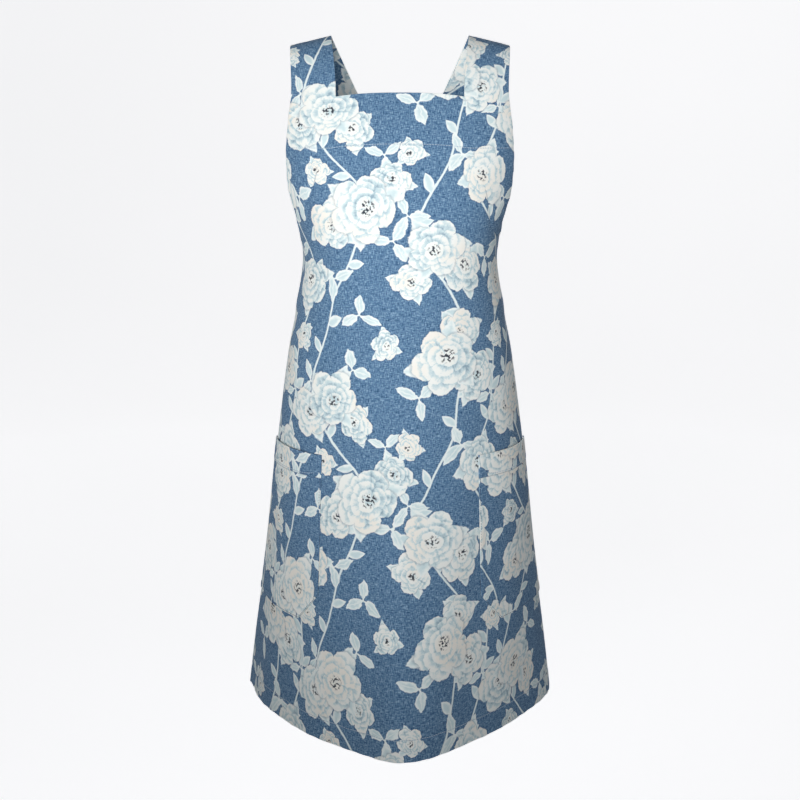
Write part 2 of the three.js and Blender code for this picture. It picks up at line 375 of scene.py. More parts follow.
# a new material with one shader: the material, its nodes and the shader
def startMaterial(name):
    material = bpy.data.materials.new(name)
    material.use_nodes = True
    tree = material.node_tree
    tree.nodes.clear()
    output = tree.nodes.new("ShaderNodeOutputMaterial")
    skin = tree.nodes.new("ShaderNodeBsdfPrincipled")
    tree.links.new(skin.outputs[0], output.inputs[0])
    return material, tree, skin


# printed cotton: the print on the right side, a grey wrong side with the print showing faintly through,
# and threads that give the grain, the roughness and the relief
def printedCotton():
    finish = clothFinish
    material, tree, skin = startMaterial("printedCotton")
    start = tree.nodes.new("ShaderNodeUVMap")
    start.uv_map = "clothFlat"
    cloth = Wire(tree, start.outputs[0]).scaled(1 / mm)
    # beyond a dart's line the cloth is taken up, so the print jumps there
    dart = cloth.node("ShaderNodeAttribute", {"attribute_name": "dartTurn"}, None, 1)
    beyond = dart.part(2) - dartMark
    taken = dart.vector("MULTIPLY", (1, 1, 0)).scaled(beyond.math("GREATER_THAN", beyond, 0.0))
    cloth = cloth.vector("ADD", taken)
    # a narrow line along each dart and along a pocket band's lower edge: painted shade in the colour, and a
    # dip in the relief
    dartLine = abs(beyond).ease(*finish["dartLine"])
    # slubby threads both ways, noise drawn out along the weft and along the warp, and a fine speckle
    across, along, share = finish["slubAcross"], finish["slubAlong"], finish["speckleShare"]
    weft = cloth.vector("MULTIPLY", (along, across, 1)).noise(1.0, 2.0, 0.6)
    warp = cloth.vector("MULTIPLY", (across, along, 1)).noise(1.0, 2.0, 0.6)
    speckle = cloth.noise(finish["speckle"], 1.0, 0.5)
    threads = (weft + warp) * ((1 - share) / 2) + speckle * share
    colour = printColour(cloth, threads)
    # painted shade: the cloth is darkened towards the dark ground threads along a dart's line or a pocket
    # band's edge
    colour = (dartLine * finish["dartShade"]).colourBetween(colour, rosePrint["groundDark"])
    wrong = cloth.node("ShaderNodeAttribute", {"attribute_name": "wrongSide"}, None, 2)
    reverse = threads.ease(0.3, 0.7).colourBetween(finish["wrongDark"], finish["wrongSide"])
    reverse = cloth.node("ShaderNodeMix", {"data_type": "RGBA"},
                         {0: finish["showThrough"], 6: reverse, 7: colour}, 2)
    wrong.colourBetween(colour, reverse).into(skin, "Base Color")
    threads.ease(0.35, 0.65).between(*finish["roughness"]).into(skin, "Roughness")
    relief = cloth.node("ShaderNodeBump", None, {
        "Strength": finish["reliefStrength"], "Distance": finish["relief"], "Height": threads - dartLine})
    relief.into(skin, "Normal")
    skin.inputs["Sheen Weight"].default_value = finish["sheen"]
    skin.inputs["Specular IOR Level"].default_value = finish["specular"]
    return material


threadFinish = {
    "pale": (0.47, 0.58, 0.70, 1), "blue": (0.020, 0.045, 0.115, 1), "roughness": 0.6,
    "plyScale": 1400.0, "plyDark": 0.72, "relief": 0.0001, "reliefStrength": 0.5,
}


# thread: its own tone and a darker one, in noise as fine as its plies
def sewingThread(name, tone):
    finish = threadFinish
    material, tree, skin = startMaterial(name)
    place = Wire(tree, tree.nodes.new("ShaderNodeTexCoord").outputs["Object"])
    plies = place.noise(finish["plyScale"], 2.0, 0.6)
    dark = tuple(c * finish["plyDark"] for c in tone[:3]) + (1,)
    plies.ease(0.35, 0.65).colourBetween(dark, tone).into(skin, "Base Color")
    relief = place.node("ShaderNodeBump", None, {
        "Strength": finish["reliefStrength"], "Distance": finish["relief"], "Height": plies})
    relief.into(skin, "Normal")
    skin.inputs["Roughness"].default_value = finish["roughness"]
    return material


floorFinish = {
    "tone": (0.90, 0.90, 0.91, 1), "worn": (0.86, 0.86, 0.87, 1), "patchScale": 0.8,
    "roughness": 0.7, "glow": 0.82,
}


# the floor's paint: two pale tones in wide soft patches, with a glow of its own
def paleFloor():
    finish = floorFinish
    material, tree, skin = startMaterial("paleFloor")
    place = Wire(tree, tree.nodes.new("ShaderNodeTexCoord").outputs["Object"])
    patches = place.noise(finish["patchScale"], 3.0, 0.5).ease(0.3, 0.7)
    patches.colourBetween(finish["worn"], finish["tone"]).into(skin, "Base Color")
    skin.inputs["Roughness"].default_value = finish["roughness"]
    skin.inputs["Emission Color"].default_value = finish["tone"]
    skin.inputs["Emission Strength"].default_value = finish["glow"]
    return material


# the worn shape, mm and degrees, as the solids
wornShape = {
    # height, half width, front depth, back depth, front power, back power
    "sections": [
        (0, 165, 60, 52, 2.6, 3.0), (-60, 165, 83, 68, 2.6, 3.0), (-130, 166, 109, 90, 2.6, 2.8),
        (-190, 157, 124, 99, 2.55, 2.6), (-240, 140, 131, 104, 2.5, 2.4), (-280, 132, 132, 108, 2.4, 2.3),
        (-330, 138, 131, 114, 2.2, 2.2), (-420, 155, 137, 122, 2.0, 2.1), (-540, 172, 160, 132, 1.8, 2.0),
        (-700, 191, 205, 145, 1.6, 2.0), (-850, 213, 250, 155, 1.45, 2.0), (-1000, 232, 290, 165, 1.4, 2.0),
    ],
    # height, angle from the centre front to the armhole or side seam
    "armhole": [(-74, 55), (-130, 59.5), (-190, 66.5), (-220, 70.5), (-245, 75.5), (-265, 81.5), (-285, 90)],
    # share of the way from the side seam to the back edge, height of the top edge
    "backTopEdge": [(0, -285), (0.25, -306), (0.45, -334), (0.65, -360), (0.8, -379), (1, -405)],
    # height, angle of the left and right back edges
    "backOpening": [
        (-400, 166, 169), (-460, 159, 161.5), (-520, 150, 152.5), (-590, 142, 145), (-700, 138, 138),
        (-820, 134.5, 128), (-990, 129, 118),
    ],
    # height of the hem at the centre front, at the side seams and at the two back corners
    "hem": {"front": -910, "side": -915, 1: -942, -1: -956},
}


# a table's column between its rows: a cubic through the rows with the mean slope of their neighbours
def lookUp(table, column, key):
    rows = np.array(sorted(table), float)
    keys, values = rows[:, 0], rows[:, column]
    before = np.concatenate([[0], np.arange(len(keys) - 1)])
    after = np.concatenate([np.arange(1, len(keys)), [len(keys) - 1]])
    slope = (values[after] - values[before]) / (keys[after] - keys[before])
    key = np.clip(key, keys[0], keys[-1])
    i = np.clip(np.searchsorted(keys, key, side="right") - 1, 0, len(keys) - 2)
    span = keys[i + 1] - keys[i]
    t = (key - keys[i]) / span
    rise = t * t * (3 - 2 * t)
    bend = span * t * (1 - t) * ((1 - t) * slope[i] - t * slope[i + 1])
    return values[i] * (1 - rise) + values[i + 1] * rise + bend


# the value at a share of the way from a to b
def between(a, b, share):
    return a + (b - a) * share


# 0 at start and 1 at end: three times the way's square less twice its cube
def eased(value, start, end):
    t = np.clip((value - start) / (end - start), 0, 1)
    return t * t * (3 - 2 * t)


# a bell: e to the minus square of the distance from its middle, in widths
def hump(value, middle, width):
    return np.exp(-((value - middle) / width) ** 2)


# vectors over their own lengths
def unit(vectors):
    return vectors / np.maximum(np.linalg.norm(vectors, axis=-1, keepdims=True), 1e-12)


# the wall round the wearer: a rounded oval at each height, with its own powers in front and behind
def wallPoint(angle, z):
    side, front, back, frontPower, backPower = (lookUp(wornShape["sections"], k, z) for k in range(1, 6))
    sine, cosine = np.sin(np.radians(angle)), np.cos(np.radians(angle))
    power = 2 / np.where(cosine >= 0, frontPower, backPower)
    x = side * np.sign(sine) * np.abs(sine) ** power
    y = np.where(cosine >= 0, -front, back) * np.abs(cosine) ** power
    return np.stack(np.broadcast_arrays(x, y, z), -1)


softFolds = {
    # waves that grow towards the hem: mm, power of their growth, waves in a turn, lead, and slant for each
    # mm of height
    "round": [(2.6, 1.6, 6, 0.7, 0), (1.1, 1, 13, 2.1, -1 / 110)],
    "behind": [(3.2, 1, 5, 0.4, 1 / 160)],
    "growFrom": -430, "growOver": 480, "behindFrom": (92, 120),
    # creases across the waist: mm, height at the centre front, width, drop per degree
    "creases": [(1.1, -318, 15, 0.35), (-0.77, -352, 20, 0.22)], "creaseFrom": (4, 30),
    # drag lines beside the bust: mm, wave, drop per degree, and the middle and width of their place
    "drag": 0.8, "dragWave": 17, "dragDrop": 1.4, "dragHeight": (-215, 55), "dragAngle": (52, 16),
    "edgeWaver": 0.3, "edgeReach": 8.0,
}


# soft folds, mm out from the wall: long waves round the hem and longer ones behind, shallow creases across
# the waist, and drag lines that slant down beside the bust
def foldHeight(angle, z):
    folds = softFolds
    turn, aside = np.radians(angle), np.abs(angle)
    low = np.clip((folds["growFrom"] - z) / folds["growOver"], 0, 1)
    drag = np.sin((z + folds["dragDrop"] * aside) / folds["dragWave"])
    height = folds["drag"] * drag * hump(z, *folds["dragHeight"]) * hump(aside, *folds["dragAngle"])
    for place, share in (("round", 1), ("behind", eased(aside, *folds["behindFrom"]))):
        for size, power, count, lead, slant in folds[place]:
            height = height + share * size * low ** power * np.sin(count * turn + lead + slant * z)
    for size, middle, width, drop in folds["creases"]:
        crease = hump(z + drop * aside, middle, width)
        height = height + size * crease * eased(aside, *folds["creaseFrom"])
    return height


# sewn edges waver: two waves of unlike length along the edge, fading within a short reach of it
def edgeWaver(along, gap):
    waves = np.sin(along / 3.4 + 1.7 * np.sin(along / 29)) + 0.8 * np.sin(along / 8.3 + 0.9)
    return softFolds["edgeWaver"] * waves * np.exp(-(gap / softFolds["edgeReach"]) ** 2)


# a surface given by two numbers: its points, and its normals by small steps either way
def surfaceFrame(surface, a, b, stepA=1e-4, stepB=1e-4):
    alongA = surface(a + stepA, b) - surface(a - stepA, b)
    alongB = surface(a, b + stepB) - surface(a, b - stepB)
    return surface(a, b), unit(np.cross(alongA, alongB))


# the wall with its soft folds: points moved out along the wall's normals, and those normals
def wallFrame(angle, z):
    angle, z = np.broadcast_arrays(np.asarray(angle, float), np.asarray(z, float))
    points, normals = surfaceFrame(wallPoint, angle, z, 0.02, 0.05)
    return points + normals * foldHeight(angle, z)[..., None], normals


# evenly spaced numbers from 0 to 1 with extra ones close to each end, so that the edges roll over
def gridLine(count, length, edge=(0.0, 0.16, 0.5, 1.1)):
    near = np.array(edge) / length
    return np.concatenate([near, np.linspace(near[-1], 1 - near[-1], count)[1:-1], 1 - near[::-1]])


# corners of the quads between the rows and columns of a grid
def gridQuads(index):
    return np.stack([index[:-1, :-1], index[1:, :-1], index[1:, 1:], index[:-1, 1:]], -1).reshape(-1, 4)


# points and faces as a smooth object of one material
def addObject(name, points, faces, material):
    mesh = bpy.data.meshes.new(name)
    mesh.from_pydata(points.reshape(-1, 3).tolist(), [], faces)
    mesh.polygons.foreach_set("use_smooth", np.ones(len(faces), bool))
    mesh.materials.append(material)
    thing = bpy.data.objects.new(name, mesh)
    bpy.context.scene.collection.objects.link(thing)
    return thing


# 1 where a grid's rows and columns turn the way its normals point and -1 where not, read at its middle
def facingSign(points, normals):
    i, j = points.shape[0] // 2, points.shape[1] // 2
    turn = np.cross(points[i + 1, j] - points[i, j], points[i, j + 1] - points[i, j])
    return np.sign(turn @ normals[i, j])


# a grid of cloth: the inner face's points and normals, distance from the free edge, flat place, lift of the
# outer and the inner skin, 1 where the wrong side shows inside, and the shift of the print at a dart
def makePatch(points, normals, edge, flat, thickness=clothThickness, outer=0.0, inner=0.0, wrong=1.0,
              dart=0.0):
    shape = edge.shape
    return {
        "points": points, "normals": normals, "edge": edge, "flat": flat, "thickness": thickness,
        "outer": np.broadcast_to(outer, shape), "inner": np.broadcast_to(inner, shape),
        "wrong": np.broadcast_to(wrong, shape), "dart": np.broadcast_to(dart, shape + (3,)),
        "facing": facingSign(points, normals),
    }


# a sewn piece of cloth: each patch has an outer and an inner skin, half the thickness and the lift from its
# middle, that roll over on a quarter circle and meet at the free edges
def sewnPiece(name, node, patches, material):
    points, quads, flats, inside, darts = [], [], [], [], []
    start = 0
    for patch in patches:
        half = 0.5 * patch["thickness"]
        roll = np.clip(patch["edge"] / half, 0, 1)
        roll = np.sqrt(1 - (1 - roll) ** 2)[..., None]
        middle = patch["points"] + patch["normals"] * half
        for face, lift in ((1, patch["outer"]), (-1, patch["inner"])):
            skin = middle + face * patch["normals"] * roll * (half + lift[..., None])
            quad = gridQuads(start + np.arange(lift.size).reshape(lift.shape))
            points.append(skin.reshape(-1, 3))
            quads.append(quad if face * patch["facing"] > 0 else quad[:, ::-1])
            flats.append(patch["flat"].reshape(-1, 2))
            darts.append(patch["dart"].reshape(-1, 3))
            cell = patch["wrong"][:-1, :-1].reshape(-1)
            inside.append(cell if face < 0 else np.zeros(len(quad)))
            start += lift.size
    points, quads, flats = np.concatenate(points) * mm, np.concatenate(quads), np.concatenate(flats) * mm
    near = np.round(points * 1e7).astype(np.int64)    # points within a tenth of a micrometre become one
    _, first, merged = np.unique(near, axis=0, return_index=True, return_inverse=True)
    piece = addObject(name, points[first], merged.reshape(-1)[quads].tolist(), material)
    mesh = piece.data
    mesh.uv_layers.new(name="clothFlat").data.foreach_set("uv", flats[quads].astype(np.float32).ravel())
    wrongSide = mesh.attributes.new("wrongSide", "FLOAT", "FACE")
    wrongSide.data.foreach_set("value", np.concatenate(inside).astype(np.float32))
    darts = np.concatenate(darts)[first]
    if darts.any():
        dartTurn = mesh.attributes.new("dartTurn", "FLOAT_VECTOR", "POINT")
        dartTurn.data.foreach_set("vector", darts.astype(np.float32).ravel())
    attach(piece, "root")
    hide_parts(node)
    print("made", name, len(quads) * 2, "triangles")
    return piece


# heights down the centre front, and the running length of the cloth from the shoulder line to each
profileHeights = np.linspace(0, -1000, 401)
profilePoints = wallPoint(np.zeros_like(profileHeights), profileHeights)
profileLengths = np.concatenate([[0], np.cumsum(np.linalg.norm(np.diff(profilePoints, axis=0), axis=1))])


# length down the cloth to a height, read between those of the profile
def lengthDown(z):
    return np.interp(-z, -profileHeights, profileLengths)


# and the other way, the height at a length down the cloth
def heightAtLength(length):
    return -np.interp(length, profileLengths, -profileHeights)


# running length along the first direction of a grid of points
def runningLength(points):
    steps = np.linalg.norm(np.diff(points, axis=0), axis=-1)
    return np.concatenate([np.zeros((1,) + steps.shape[1:]), np.cumsum(steps, axis=0)])


# running length along the second direction
def runningDown(points):
    return runningLength(np.swapaxes(points, 0, 1)).T


frontPanelCut = {
    "bibTop": -74, "neckHalfAngle": 24, "necklineArch": 5,
    "strapSpread": 119, "strapWidth": 55, "shoulderSlope": 0.24,
    "facingDepth": 69, "hemDepth": 28,    # mm from the edge to the row of stitches
    # mm from the edge where the step at the end of each folded layer starts and is full
    "hemStep": (26.5, 24.5), "bibStep": (68, 66), "armStep": (9.5, 8), "strapStep": (8, 6),
    # mm that the hem, the bib facing and the armhole facing lift the outer and the inner skin
    "outerLift": (0.25, 0.15, 0.2), "innerLift": (1.0, 0.7, 0.7),
    "printedHem": 25, "printedFacing": 66,    # mm from the edge that show the print inside
    # heights over which the armhole facing and its edge's waver set in, and mm below the bib's top where
    # the waver fades
    "armFrom": (-285, -275), "waverFrom": (-300, -275), "waverFade": 25,
    "turnBlend": 0.12, "liftBlend": 0.1,    # shares of a strap over which it leaves the bib's form
    "columnsBetweenStraps": 96, "columnsPerStrap": 32, "rows": 214, "strapRows": 46,
    "printAt": (0, 22),
    "grooveDepth": 0.35, "hemWaver": 0.22,
    "pucker": 0.22, "puckerPlace": (18, 14),    # middle and width, mm from the hem
    # a dart's start on the armhole's edge, two places on its bend, and its tip
    "darts": {
        -1: ((-134, -57, -236), (-122, -84, -231), (-115, -93, -217), (-107, -101, -169)),
        1: ((136, -26, -251), (126, -66, -251), (117, -85, -239), (110, -101, -193)),
    },
    "dartTake": 17, "dartFade": (0.25, 1), "dartDip": 0.7, "dartWidth": 4.5, "dartFrom": (0, 30),
}
topPower = lookUp(wornShape["sections"], 4, frontPanelCut["bibTop"])
topAngle = lookUp(wornShape["armhole"], 1, frontPanelCut["bibTop"])
neckShare = frontPanelCut["neckHalfAngle"] / topAngle
neckColumn = neckShare ** (2 / topPower)    # where the neckline's corner falls on the grid


# angle at a share of the way from the centre front to the edge; the power keeps the columns even
def frontAngle(share, z):
    power = lookUp(wornShape["sections"], 4, z) / 2
    return lookUp(wornShape["armhole"], 1, z) * np.sign(share) * np.abs(share) ** power


# height on the front panel: the neckline arches between the straps, the hem drops a little to the sides
# and wavers by two small waves
def frontHeight(share, down):
    cut, hem = frontPanelCut, wornShape["hem"]
    turned = np.abs(share) ** (topPower / 2) / neckShare
    top = cut["bibTop"] + cut["necklineArch"] * np.maximum(0, 1 - turned ** 2)
    hemPower = lookUp(wornShape["sections"], 4, hem["front"]) / 2
    bottom = between(hem["front"], hem["side"], np.abs(share) ** (2 * hemPower))
    bottom = bottom + cut["hemWaver"] * (np.sin(97 * share + 2 * np.sin(9 * share)) + np.sin(53 * share + 1))
    return between(top, bottom, down)


# front strap: one cubic curve from the bib's own slope up to the shoulder line
def frontStrapPoint(share, up):
    cut = frontPanelCut
    turned = np.sign(share) * np.abs(share) ** (topPower / 2)
    start = wallPoint(turned * topAngle, np.full_like(share, cut["bibTop"]))
    rise = wallPoint(turned * topAngle, np.full_like(share, cut["bibTop"] + 1.0)) - start
    across = (np.abs(turned) - neckShare) / (1 - neckShare)
    x = np.sign(share) * (cut["strapSpread"] + (across - 0.5) * cut["strapWidth"])
    z = -cut["shoulderSlope"] * (np.abs(x) - cut["strapSpread"])
    end = np.stack([x, np.full_like(x, -seamGap / 2), z], -1)
    reach = np.linalg.norm(end - start, axis=-1, keepdims=True)
    first = start + rise * reach / 3
    last = end - np.array([0, 1, 0]) * reach / 3
    t = up[..., None]
    return start * (1 - t) ** 3 + 3 * first * t * (1 - t) ** 2 + 3 * last * t ** 2 * (1 - t) + end * t ** 3


# distance from flat places to a bent line, and the side of it that they lie on
def bentLine(places, line):
    nearest = np.full(places.shape[:-1], np.inf)
    side = np.zeros(places.shape[:-1])
    for a, b in zip(line[:-1], line[1:]):
        step, away = b - a, places - a
        along = np.clip(away @ step / (step @ step), 0, 1)
        gap = np.linalg.norm(away - along[..., None] * step, axis=-1)
        side = np.where(gap < nearest, np.sign(step[0] * away[..., 1] - step[1] * away[..., 0]), side)
        nearest = np.minimum(nearest, gap)
    return nearest, side


# darts, on the flat cloth: each turns the cloth between its line and the armhole about its tip, by less the
# further round, and gives the turn's shift and the distance beyond the line; the cloth dips along the line
def frontDarts(points, flat):
    cut = frontPanelCut
    places, flatPlaces = points.reshape(-1, 3), flat.reshape(-1, 2)
    turned = np.zeros(points.shape)
    dip = np.zeros(points.shape[:-1])
    for side, spots in cut["darts"].items():
        line = [flatPlaces[np.argmin(np.linalg.norm(places - spot, axis=1))] for spot in spots]
        away = flat - line[-1]
        reach = np.linalg.norm(away, axis=-1)
        gap, hand = bentLine(flat, line)
        length = np.linalg.norm(line[0] - line[-1])
        angle = -side * cut["dartTake"] / length * (1 - eased(gap / np.maximum(reach, 1), *cut["dartFade"]))
        shift = np.stack([away[..., 0] * np.cos(angle) - away[..., 1] * np.sin(angle),
                          away[..., 0] * np.sin(angle) + away[..., 1] * np.cos(angle)], -1) - away
        own = np.sign(flat[..., 0]) == side
        turned[own] = np.concatenate([shift, (side * hand * gap)[..., None] + dartMark], -1)[own]
        dip = dip + own * hump(gap, 0, cut["dartWidth"]) * eased(reach, *cut["dartFrom"])
    return turned, dip


# a grid line with closer steps beside each place where a row of stitches pulls the cloth in
def stitchedLine(count, length, rows):
    close = np.array([-2.2, -1.3, -0.6, 0, 0.6, 1.3, 2.2])
    line = np.concatenate([gridLine(count, length)] + [(row + close) / length for row in rows])
    return np.unique(np.clip(line, 0, 1))


# front panel: the folded wall from armhole to armhole, with flat places from its running lengths; hem and
# facings lift its skins by steps, rows of stitches pull it in, and a strap grows on at each side of the bib
def makeFrontPanel(material):
    cut, hem = frontPanelCut, wornShape["hem"]
    strapLine = neckColumn + (1 - neckColumn) * gridLine(cut["columnsPerStrap"], cut["strapWidth"])
    middle = np.linspace(-neckColumn, neckColumn, cut["columnsBetweenStraps"] + 1)
    shares = np.concatenate([-strapLine[::-1], middle[1:-1], strapLine])
    length = lengthDown(hem["front"]) - lengthDown(cut["bibTop"])
    downs = stitchedLine(cut["rows"], length, (cut["facingDepth"], length - cut["hemDepth"]))
    share, down = np.meshgrid(shares, downs, indexing="ij")
    z = frontHeight(share, down)
    angle = frontAngle(share, z)
    points, normals = wallFrame(angle, z)
    points[..., 1] = np.minimum(points[..., 1], -seamGap / 2)
    across = runningLength(wallPoint(angle, z))
    across = across - across[len(shares) // 2]
    fall = lengthDown(z)
    sideGap = np.minimum(across[-1] - across, across - across[0])
    hemGap = fall[:, -1:] - fall
    drop = fall - fall[:, :1]
    neckAcross = np.maximum(np.abs(across) - np.abs(across[len(strapLine) - 1]), 0)
    edge = np.minimum(np.minimum(sideGap, hemGap), np.hypot(neckAcross, drop))
    # folded hem, bib facing and narrow armhole facing thicken the cloth, and stitches pull it in
    armFold = eased(sideGap, *cut["armStep"]) * eased(z, *cut["armFrom"])
    folds = np.stack([eased(hemGap, *cut["hemStep"]), eased(drop, *cut["bibStep"]), armFold], -1)
    groove = hump(hemGap, cut["hemDepth"], grooveWidth) + hump(drop, cut["facingDepth"], grooveWidth)
    pucker = np.sin(across / 2.1 + 1.3 * np.sin(across / 23)) * hump(hemGap, *cut["puckerPlace"])
    outer = folds @ np.array(cut["outerLift"]) - cut["grooveDepth"] * groove + cut["pucker"] * pucker
    inner = folds @ np.array(cut["innerLift"])
    wrong = (hemGap > cut["printedHem"]) & (drop > cut["printedFacing"]) & (armFold < 0.5)
    flat = np.stack([across, fall], -1)
    dart, dip = frontDarts(points, flat)
    # the side seams below the armholes stay straight, and so does the bib beside the straps
    seamless = eased(z, *cut["waverFrom"]) * eased(z, cut["bibTop"], cut["bibTop"] - cut["waverFade"])
    waver = edgeWaver(across, hemGap) + edgeWaver(fall * np.sign(share), sideGap) * seamless
    points = points + normals * (waver - cut["dartDip"] * dip)[..., None]
    printAt = np.array(cut["printAt"])
    patches = [makePatch(points, normals, edge, flat + printAt, outer=outer, inner=inner, wrong=wrong,
                         dart=dart)]
    # the straps grow on from the bib's top row, first in its direction and with its lifts
    ups = np.linspace(0, 1, cut["strapRows"])
    for columns in (slice(0, len(strapLine)), slice(len(shares) - len(strapLine), None)):
        strapShare, up = np.meshgrid(shares[columns], ups, indexing="ij")
        strapPoints, strapNormals = surfaceFrame(frontStrapPoint, strapShare, up)
        bibNormals = normals[columns, :1]
        strapNormals = strapNormals * np.sign(np.sum(strapNormals[:, :1] * bibNormals, -1, keepdims=True))
        strapPoints[:, 0], strapNormals[:, 0] = points[columns, 0], normals[columns, 0]
        strapNormals = unit(between(bibNormals, strapNormals, eased(up, 0, cut["turnBlend"])[..., None]))
        rowWidth, climbed = runningLength(strapPoints), runningDown(strapPoints)
        strapEdge = np.minimum(np.minimum(rowWidth, rowWidth[-1] - rowWidth), climbed[:, -1:] - climbed)
        strapAcross = np.broadcast_to(across[columns, :1], climbed.shape)
        strapFlat = np.stack([strapAcross, fall[columns, :1] - climbed], -1)
        grown = eased(up, 0, cut["liftBlend"])
        _, bibLift, armLift = cut["outerLift"]
        strapLift = between(bibLift, armLift, eased(strapEdge, *cut["strapStep"]))
        patches.append(makePatch(strapPoints, strapNormals, strapEdge, strapFlat + printAt,
                                 outer=between(outer[columns, :1], strapLift, grown),
                                 inner=between(inner[columns, :1], cut["innerLift"][1], grown), wrong=0.0))
    return sewnPiece("frontPanel", "front_panel", patches, material)


backPanelCut = {
    "width": 210, "length": 580,    # mm, about: they space the grid and place the rows of stitches
    "columns": 74, "rows": 150, "hemDepth": 28, "edgeFold": 12,
    # mm from the edge where the step at the end of the hem and of the edge fold starts and is full
    "hemStep": (26.5, 24.5), "edgeStep": (11.5, 10),
    "outerLift": 0.25, "innerLift": 0.8, "grooveDepth": 0.3,
    "printedHem": 25, "printedEdge": 10.5,    # mm from the edge that show the print inside
    "printAt": {1: (95, 150), -1: (231, 44)},
}


# back panel: from the side seam round to the open back edge, between its slanting top edge and its hem
def backPlace(sign, across, down):
    bottom = between(wornShape["hem"]["side"], wornShape["hem"][sign], across)
    z = between(lookUp(wornShape["backTopEdge"], 1, across), bottom, down)
    opening = lookUp(wornShape["backOpening"], 1 if sign > 0 else 2, z)
    return sign * between(90, opening, across), z


# a back panel's cloth: the folded wall at those places, lifted by its hem and edge folds and pulled in by
# its stitches
def makeBackPanel(sign, material):
    cut = backPanelCut
    wide, deep = cut["width"], cut["length"]
    acrossLine = stitchedLine(cut["columns"], wide, (wide - cut["edgeFold"],))
    downLine = stitchedLine(cut["rows"], deep, (deep - cut["hemDepth"], cut["edgeFold"]))
    across, down = np.meshgrid(acrossLine, downLine, indexing="ij")
    angle, z = backPlace(sign, across, down)
    points, normals = wallFrame(angle, z)
    points[..., 1] = np.maximum(points[..., 1], seamGap / 2)
    bare = wallPoint(angle, z)
    width, fall = runningLength(bare), runningDown(bare)
    backGap, hemGap = width[-1] - width, fall[:, -1:] - fall
    edge = np.minimum(np.minimum(width, backGap), np.minimum(fall, hemGap))
    foldGap = np.minimum(backGap, fall)
    fold = np.maximum(eased(hemGap, *cut["hemStep"]), eased(foldGap, *cut["edgeStep"]))
    groove = hump(hemGap, cut["hemDepth"], grooveWidth)
    groove = groove + hump(backGap, cut["edgeFold"], grooveWidth) + hump(fall, cut["edgeFold"], grooveWidth)
    outer = cut["outerLift"] * fold - cut["grooveDepth"] * np.minimum(groove, 1)
    wrong = (hemGap > cut["printedHem"]) & (foldGap > cut["printedEdge"])
    flat = np.stack([sign * width, lengthDown(z)], -1) + np.array(cut["printAt"][sign])
    patch = makePatch(points, normals, edge, flat, outer=outer, inner=cut["innerLift"] * fold, wrong=wrong)
    side = sideName[sign]
    return sewnPiece("backPanel" + side, "back_panel_" + side.lower(), [patch], material)


backStrapCut = {
    "shoulderRise": 90, "shoulderArc": 125, "seamStart": 0.72,
    "crossingHeight": -262, "crossingReach": 75, "crossingFade": 50, "lift": {1: 2.6, -1: 0.0},
    "length": 420, "columns": 26, "rows": 150, "printAt": {1: (20, 250), -1: (173, 95)},
    "edgeStitch": 5, "grooveDepth": 0.28,
    "crown": 0.25, "crownReach": 14,    # the doubled cloth swells between its edges
    "ripple": 0.25, "rippleLengths": (17, 41),
    "tuck": 1.3, "tuckReach": (9, 0.5),    # the lower end tucks in towards its seam
}


# depth of the wall behind the shoulder line at a place across: the rounded oval solved for its depth
def backDepth(x, z):
    side, back, power = (lookUp(wornShape["sections"], k, z) for k in (1, 3, 5))
    return back * (1 - np.minimum(np.abs(x) / side, 1) ** power) ** (1 / power)


# height on a back strap at a run from its top: a quarter wave over the shoulder, then straight down
def backStrapHeight(run):
    arc, rise = backStrapCut["shoulderArc"], backStrapCut["shoulderRise"]
    over = -rise * (1 - np.cos(np.minimum(run / arc, 1) * np.pi / 2))
    return np.where(run < arc, over, arc - rise - run)


# back strap: those heights, on a straight way across to the other side's back panel, as deep as the wall;
# the strap on top is lifted over the crossing
def backStrapPoint(sign, across, share):
    cut, front = backStrapCut, frontPanelCut
    topX = sign * (front["strapSpread"] + (0.5 - across) * front["strapWidth"])
    seamAcross = between(1, cut["seamStart"], across)
    seamAngle, seamZ = backPlace(-sign, seamAcross, np.zeros_like(across))
    seamX = wallPoint(seamAngle, seamZ)[..., 0]
    length = cut["shoulderArc"] - cut["shoulderRise"] - seamZ - 2 * seamGap
    run = share * length
    path = backStrapHeight(run)
    x = between(topX, seamX, path / backStrapHeight(length))
    turn = np.clip(run / cut["shoulderArc"], 0, 1)
    z = path - front["shoulderSlope"] * (np.abs(x) - front["strapSpread"]) * (1 - turn) ** 2
    y = np.maximum(backDepth(x, path) * np.sin(turn * np.pi / 2), seamGap / 2)
    beside = np.abs(z - cut["crossingHeight"]) - cut["crossingReach"]
    y = y + cut["lift"][sign] * (1 - eased(beside, 0, cut["crossingFade"]))
    return np.stack([x, y, z], -1)


# a back strap's points, and its normals on the side that faces back at the strap's middle
def backStrapFrame(sign, across, share):
    def surface(a, b):
        return backStrapPoint(sign, a, b)

    points, normals = surfaceFrame(surface, across, share)
    facing = np.sign(normals[..., normals.shape[-2] // 2, 1])
    return points, normals * np.asarray(facing)[..., None, None]


